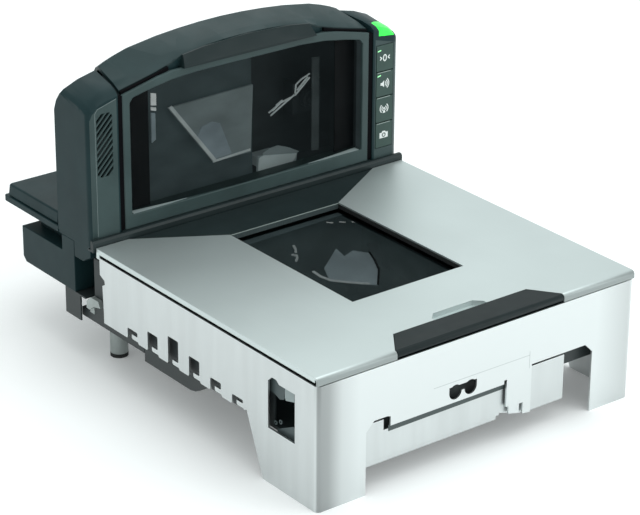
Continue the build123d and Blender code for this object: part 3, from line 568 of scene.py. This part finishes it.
def build_key_icons():
    """The keys' printed icons, divider lines and signal lamps."""
    x, z = KEY_MIDDLE, 88.8
    chevrons = [[(x + side * 4.8, z + 1.5), (x + side * 3.3, z), (x + side * 4.8, z - 1.5)]
                for side in (-1, 1)]
    strokes("icon_zero", [closed_ring((x, z), (1.5, 2.5)), *chevrons], 0.95, key_front, key_back, white_print,
            "key_zero")
    z = 67.0
    loudspeaker = [(x - 4.0, z + 1.1), (x - 2.4, z + 1.1), (x - 0.4, z + 2.9), (x - 0.4, z - 2.9),
                   (x - 2.4, z - 1.1), (x - 4.0, z - 1.1)]
    plates("icon_loudspeaker", [loudspeaker], key_front, key_back, white_print, "key_volume")
    strokes("icon_sound_waves", [arc((x - 0.6, z), (r, r), -50, 50, 8) for r in (2.0, 3.5, 5.0)], 0.8,
            key_front, key_back, white_print, "key_volume")
    z = 45.6
    waves = [arc((x, z + 0.6), (r, r), middle - 50, middle + 50, 8)
             for r in (2.2, 4.0) for middle in (0, 180)]
    strokes("icon_tag_waves", waves, 0.85, key_front, key_back, white_print, "key_tag")
    mast = [(x - 0.5, z - 0.6), (x + 0.5, z - 0.6), (x + 1.4, z - 3.2), (x - 1.4, z - 3.2)]
    plates("icon_tag_mast", [arc((x, z + 0.6), (0.9, 0.9), 0, 337.5, 15), mast], key_front, key_back,
           white_print, "key_tag")
    z = 23.8
    plates("icon_camera", [[(x - 4.2, z - 2.7), (x - 4.2, z + 1.9), (x - 2.2, z + 1.9), (x - 1.3, z + 3.1),
                            (x + 1.3, z + 3.1), (x + 2.2, z + 1.9), (x + 4.2, z + 1.9), (x + 4.2, z - 2.7)]],
           key_front, key_back, white_print, "key_camera")
    strokes("icon_camera_lens", [closed_ring((x, z - 0.2), (1.5, 1.5))], 0.75, upright(KEY_FACE - 2 * INK),
            upright(KEY_FACE - 0.6 * INK), materials["key_plastic"], "key_camera")
    for key, top in (("key_volume", 77.6), ("key_tag", 56.3), ("key_camera", 34.6)):
        plates(f"divider_{key}", [bar(*DIVIDER, top - 1.0, top - 0.45)], key_front, key_back,
               divider_print_and_edge_highlight, key)
    for key, tick in (("key_zero", 95.2), ("key_volume", 74.2)):
        plates(f"lamp_{key}", [[(124.4, tick - 0.7), (127.6, tick - 0.1), (127.8, tick + 0.8),
                                (124.6, tick + 0.3)]], key_front, key_back, lamp_green, key)


def build_tower_optics():
    """What shows through the upright window, all glowing with painted light: mirrors with painted highlights
    on their bevels and slivers and painted reflections on a facet and the low face, a lamp strip with a
    painted glow below it, and the dividing wall.
    """
    front, back = upright(290.6), upright(291.6)
    plates("tower_inner_wall", [[(-109, 8), (20.4, 8), (19.4, 112), (-84, 112), (-109, 104)]], upright(296.5),
           upright(297.5), inner_grey, "base")
    plates("tower_inner_post", [[(73.6, 18), (80.6, 17), (80.6, 95), (73.6, 96)]], upright(289.4),
           upright(290.4), inner_post, "base")
    lamps = [[(-77.6, 90.2), (-73, 89.2), (-73, 98.6), (-77.4, 99.8)],
             [(-77.6, 88.8), (-73.2, 87.4), (-73.2, 84.8), (-77.6, 86.2)]]
    plates("tower_lamp", lamps, front, back, lamp_and_glint_white, "base")
    # Painted glow below the lamp
    plates("tower_lamp_glow", [[(-77.6, 84), (-74, 83), (-74, 62), (-77.6, 60)]], front, back, mirror_blue,
           "base")
    plates("mirror_bevel_highlight", [[(-61.3, 84.3), (-58.6, 85.4), (-18.4, 32.7), (-20.6, 31)],
                            [(-20.6, 31.6), (14.6, 33.2), (14.4, 31.6), (-21, 30.2)]], upright(290.8),
           upright(291.8), mirror_highlight, "base")
    plates("mirror_facet_reflection", [[(-14, 61), (-3.2, 33.6), (-19.5, 32.6), (-36, 54), (-31, 62), (-22, 64)]],
           upright(291.2), upright(291.9), facet_reflection_grey, "base")
    slivers = [[(72.4, 79.5), (66, 74), (58, 67.6)], [(72.4, 82.6), (64, 79.6), (59.4, 76.6)],
               [(58.9, 76.6), (58.2, 69)], [(70.5, 80.4), (60, 71.5)], [(57.4, 68.2), (46, 62.4), (34.2, 56)],
               [(54, 66.8), (44, 64.6), (36, 59.6)], [(45.6, 66.4), (39.6, 63.4)], [(41, 63), (32.4, 58.8)]]
    strokes("mirror_glint_slivers", slivers, 0.9, front, back, mirror_highlight, "base")
    # A pale painted reflection on the low mirror's face, and a dimmer painted glow above it
    low_face = [(21.7, 23.6), (25.6, 25.2), (58, 19.3), (56.5, 15.6), (53.1, 12.6), (38, 11.6), (25.6, 10.8),
                (20.7, 13.7)]
    plates("mirror_low_face", [low_face], upright(289), upright(289.8), mirror_soft, "base")
    plates("mirror_low_glow", [[(25.6, 27.4), (32, 29.8), (40, 30.4), (50, 26.4), (61, 20.4), (58, 19.5),
                                (25.6, 25.4)]], upright(289.4), upright(289.8), materials["mirror"], "base")


def build_lower_optics():
    """What shows through the level window, glowing with painted light: the lower mirror, a painted highlight
    on its rim, a gap beside it, a painted reflection streak and painted glints.
    """
    front, back = level(-29.4), level(-30.4)
    face = [(37.3, 211), (33.6, 196), (45.4, 200.5), (53, 188), (38.7, 161.5), (21.7, 140.5), (13.2, 149),
            (-2.6, 167.5), (8, 188)]
    plates("lower_mirror_face", [face], front, back, mirror_blue, "base")
    rim = [(-3.5, 187), (-4.6, 176), (-2.8, 166.5), (4, 157.5), (13, 147.8), (17, 144)]
    strokes("lower_mirror_rim_highlight", [rim], 2.2, level(-28.6), level(-29.2), mirror_highlight, "base")
    strokes("lower_mirror_gap", [[(53, 190), (47, 176), (38.4, 160), (27, 146.5), (20.6, 139)]], 1.6,
            level(-28.6), level(-29.2), materials["black_print"], "base")
    plates("lower_mirror_reflection_streak", [[(62, 205), (70, 202), (54, 176), (41, 158), (49, 176)]], front, back,
           inner_grey, "base")
    glints = [[(3.4, 223), (5.6, 219.6), (3.2, 215.6), (-1.2, 211.4)], [(15, 236), (12.4, 230), (8.6, 224.6)]]
    strokes("lower_glints", glints, 1.7, front, back, mirror_highlight, "base")
    # Painted highlights: three glinting dashes
    lamps = [[(x, z), (x + 6, z - 1.9), (x + 6, z - 2.5), (x, z - 0.6)]
             for x, z in ((49, -19.6), (61.5, -22.4), (74, -25.6))]
    plates("lower_glint_dashes", lamps, upright(237.6), upright(238.4), lamp_and_glint_white, "base")


RIB_PITCH = 1.7
RIB_WIDTH = 0.9
RIB_COUNT = 60


def build_window_ribs():
    """The level window's ribbed rear wall, a painted reflection of it at its foot and a painted highlight
    along its top.
    """
    starts = [-51 + RIB_PITCH * index for index in range(RIB_COUNT)]
    ribs = [bar(x, x + RIB_WIDTH, -4.7, -0.9) for x in starts]
    plates("window_rear_ribs", ribs, upright(226.4), upright(226.9), wall_grey, "platter")
    plates("window_rear_band", [bar(-51.4, 51.4, -4.75, -0.5)], upright(226.65), upright(226.95), wall_grey,
           "platter")
    plates("window_rear_reflection", [[(-51.2, 219), (51.2, 221.5), (51.2, 226.9), (-51.2, 226.9)]], level(-8.3),
           level(-8.6), inner_grey, "platter")
    plates("window_rear_edge_highlight", [bar(-51.4, 51.4, -0.75, -0.25)], upright(226.3), upright(226.7),
           divider_print_and_edge_highlight, "platter")


def build_skirt_details():
    """Painted shade along the pressed crease lines and in a gap on the skirt's front, and what shows inside
    the leg windows.
    """
    crease_shade_lines = [[(-43.7, -38.4), (45.6, -38.8)], [(45.6, -35.6), (45.6, -49.3)]]
    strokes("skirt_crease_shade", crease_shade_lines, 0.55, upright(-3.01), upright(-2.9), crease_shade_grey, "base")
    plates("skirt_gap_shade", [[(-81.5, -56), (25.5, -56), (25.5, -60.4), (-81.5, -60.9)]], upright(0.1),
           upright(0.5), gap_shade_grey, "base")
    nut = [(38.4, -23), (27.6, -23), (27.6, -31.2), (37.4, -33.8), (38.4, -32)]
    foot = [(47, -59.6), (29, -50.6), (27, -50.6), (27, -64), (47, -64)]
    boss = [(56, -20), (39.6, -20), (38.6, -28), (39.6, -34), (44, -35.6), (50, -33.6), (56, -33)]
    screws = [closed_ring(centre, (1.3, 1.3)) for centre in ((49.1, -55.6), (43.4, -52.8))]
    for side, tag in ((-1, "left"), (1, "right")):
        near, far = sideways(side * 142), sideways(side * 141.2)
        plates(f"leg_window_nut_{tag}", [nut], near, far, sill_highlight_and_nut_grey, "base")
        plates(f"leg_window_foot_{tag}", [foot], near, far, wall_grey, "base")
        plates(f"leg_window_boss_{tag}", [boss], near, far, wall_grey, "base")
        strokes(f"leg_window_screws_{tag}", screws, 0.7, near, far, wall_grey, "base")


BACK_COVER = 321.0                    # depth of the back cover's outer face
LOUVRE_MIDDLES = (-52, 0, 52)
LOUVRE_LOW = 46
LOUVRE_PITCH = 6.0
LOUVRE_ROWS = 6
SOCKETS = (-44, -22, 0, 22, 44)       # middles of the rear sockets
CONTACT_PITCH = 2.2
CONTACTS = (-2, -1, 0, 1, 2)


def build_back_details():
    """Cooling louvres and screw recesses on the back cover, with their slots and recesses painted black for
    the shade inside, and the contacts in the rear sockets.
    """
    slots, hoods = [], []
    for middle in LOUVRE_MIDDLES:
        for row in range(LOUVRE_ROWS):
            low = LOUVRE_LOW + LOUVRE_PITCH * row
            slots.append(bar(middle - 19, middle + 19, low, low + 2.6))
            hoods.append(bar(middle - 20, middle + 20, low + 2.4, low + 3.6))
    plates("back_louvre_slots", slots, upright(BACK_COVER - 0.2), upright(BACK_COVER + 0.1),
           materials["black_print"], "base")
    plates("back_louvre_hoods", hoods, upright(BACK_COVER - 0.3), upright(BACK_COVER + 1.2),
           materials["slate_plastic"], "base")
    recesses = [closed_ring((x, z), (5.2, 5.2)) for x in (-100, 100) for z in (28, 98)]
    strokes("back_screw_recesses", recesses, 1.4, upright(BACK_COVER - 0.2), upright(BACK_COVER + 0.12),
            materials["black_print"], "base")
    middles = [x + CONTACT_PITCH * pin for x in SOCKETS for pin in CONTACTS]
    contacts = [bar(middle - 0.4, middle + 0.4, -35.6, -33) for middle in middles]
    plates("socket_contacts", contacts, upright(358), upright(366), materials["steel"], "base")


# Where the painted highlights lie along the sill beside the upright window
SILL_INNER = 58
SILL_OUTER = 107.5
SILL_STEPS = 6
SILL_RADIUS = 984.0      # the upright window bows back along this radius


def build_bezel_surrounds():
    """Painted shade in the grooves beside the bezel and under the hood, fillers at the hood's ends, a painted
    highlight on the speaker panel's rim and painted highlights on the sill.
    """
    # Black strips paint the shade in the grooves beside the bezel
    groove_shades = [[(side * 115.9, 6), (side * 119.9, 6), (side * 119.9, 111.5), (side * 115.9, 112)]
             for side in (-1, 1)]
    plates("groove_shade_strips", groove_shades, upright(271.9), upright(275), materials["black_print"], "base")
    front_edge = [(72.8, 122.4), (84, 119.2), (100, 115.4), (115.4, 112.2)]
    hood_end = [(57, 118.6), (57, 130), (66, 128.4), (72.6, 124.6), (74, 121.8)]
    for side, tag in ((-1, "left"), (1, "right")):
        plates(f"hood_end_filler_{tag}", [[(side * x, z) for x, z in hood_end]], upright(276.4),
               upright(277.4), materials["slate_plastic"], "base")
        # A black strip paints the shade under the shell's front edge
        mesh = bmesh.new()
        upper = [(side * x, z + 2.5) for x, z in front_edge]
        lower = [(side * x, z - 0.3) for x, z in front_edge]
        add_strip(mesh, upper, lower, upright(273.9), upright(275.9))
        finish_piece(f"shell_shade_band_{tag}", mesh, materials["black_print"], "base")
    # A painted highlight along the speaker panel's rim
    strokes("speaker_panel_rim_highlight", [[(-121.6, 111.3), (-138.0, 106.6), (-140.4, 103.4), (-140.4, 6)]], 0.5,
            upright(271.05), upright(271.5), rim_highlight_grey, "base")
    # Painted highlights on the sill at each side of the upright window
    steps = [SILL_INNER + (SILL_OUTER - SILL_INNER) * index / SILL_STEPS for index in range(SILL_STEPS + 1)]
    sill_highlights = []
    for side in (-1, 1):
        glass = [(side * x, 271.9 + x * x / (2 * SILL_RADIUS)) for x in steps]
        sill_highlights.append([(side * SILL_OUTER, 272.6), (side * (SILL_INNER + 18), 272.6)] + glass)
    plates("sill_highlight_wedges", sill_highlights, level(16.1), level(15.7), sill_highlight_and_nut_grey, "base")


build_key_icons()
build_bezel_surrounds()
build_tower_optics()
build_lower_optics()
build_window_ribs()
build_skirt_details()
build_back_details()

# ---------------------------------------------------------------------------------------------------
# Floor, light and camera
# ---------------------------------------------------------------------------------------------------

FLOOR_HALF = 12.0
LIGHT_TARGET = (0, 0, 0.1)


def build_floor():
    """A wide pale paper floor with a faint glow of its own, which keeps it near white."""
    mesh = bpy.data.meshes.new("floor")
    corners = [(x, y, 0) for x, y in bar(-FLOOR_HALF, FLOOR_HALF, -FLOOR_HALF, FLOOR_HALF)]
    mesh.from_pydata(corners, [], [(0, 1, 2, 3)])
    floor = bpy.data.objects.new("floor", mesh)
    bpy.context.collection.objects.link(floor)
    material, tree, links = new_material("floor_paper")
    shader = shader_of(material)
    paper = noise(tree, links, coordinates(tree, links), 3.0, 2.0)
    links.new(blended(tree, links, paper, (0.90, 0.905, 0.905), (0.92, 0.92, 0.92)),
              shader.inputs["Base Color"])
    shader.inputs["Emission Color"].default_value = (0.96, 1, 1, 1)
    shader.inputs["Emission Strength"].default_value = 0.16
    shader.inputs["Roughness"].default_value = 0.8
    mesh.materials.append(material)


def area_light(name, stand, size, power, colour=(0.95, 1, 1)):
    """A square lamp that stands at a point and shines at the object."""
    data = bpy.data.lights.new(name, "AREA")
    data.shape = "SQUARE"
    data.size = size
    data.energy = power
    data.color = colour
    light = bpy.data.objects.new(name, data)
    light.location = stand
    light.rotation_mode = "QUATERNION"
    light.rotation_quaternion = (Vector(LIGHT_TARGET) - Vector(stand)).to_track_quat("-Z", "Y")
    bpy.context.collection.objects.link(light)


def build_world():
    world = bpy.data.worlds.new("studio")
    world.use_nodes = True
    background = world.node_tree.nodes["Background"]
    background.inputs["Color"].default_value = (0.70, 0.74, 0.74, 1)
    background.inputs["Strength"].default_value = 1.0
    bpy.context.scene.world = world


CAMERA_AZIMUTH = math.radians(-37.31)
CAMERA_ELEVATION = math.radians(23.92)
CAMERA_ROLL = math.radians(0.16)
CAMERA_DISTANCE = 1.8313
CAMERA_TARGET = Vector((-0.0804, -0.0925, 0.1448))
CAMERA_SENSOR = 36.0
CAMERA_LENS = 146.32
CAMERA_SHIFT = (0.0334, -0.0182)


def build_camera():
    data = bpy.data.cameras.new("camera")
    data.sensor_width = CAMERA_SENSOR
    data.lens = CAMERA_LENS
    data.shift_x, data.shift_y = CAMERA_SHIFT
    camera = bpy.data.objects.new("camera", data)
    back = Vector((math.sin(CAMERA_AZIMUTH) * math.cos(CAMERA_ELEVATION),
                   -math.cos(CAMERA_AZIMUTH) * math.cos(CAMERA_ELEVATION), math.sin(CAMERA_ELEVATION)))
    camera.location = CAMERA_TARGET + back * CAMERA_DISTANCE
    right = Vector((0, 0, 1)).cross(back).normalized()
    up = back.cross(right)
    tilted_right = math.cos(CAMERA_ROLL) * right + math.sin(CAMERA_ROLL) * up
    tilted_up = back.cross(tilted_right)
    camera.matrix_world = Matrix.Translation(camera.location) @ Matrix(
        (tilted_right, tilted_up, back)).transposed().to_4x4()
    bpy.context.collection.objects.link(camera)
    bpy.context.scene.camera = camera


build_floor()
build_world()
area_light("key", (1.5, -2.1, 0.9), 1.8, 18)
area_light("top", (0.3, -0.5, 3.0), 3.0, 40)
area_light("rear", (0.9, 2.2, 2.0), 2.0, 8)
build_camera()
bpy.context.scene.view_settings.view_transform = "Standard"
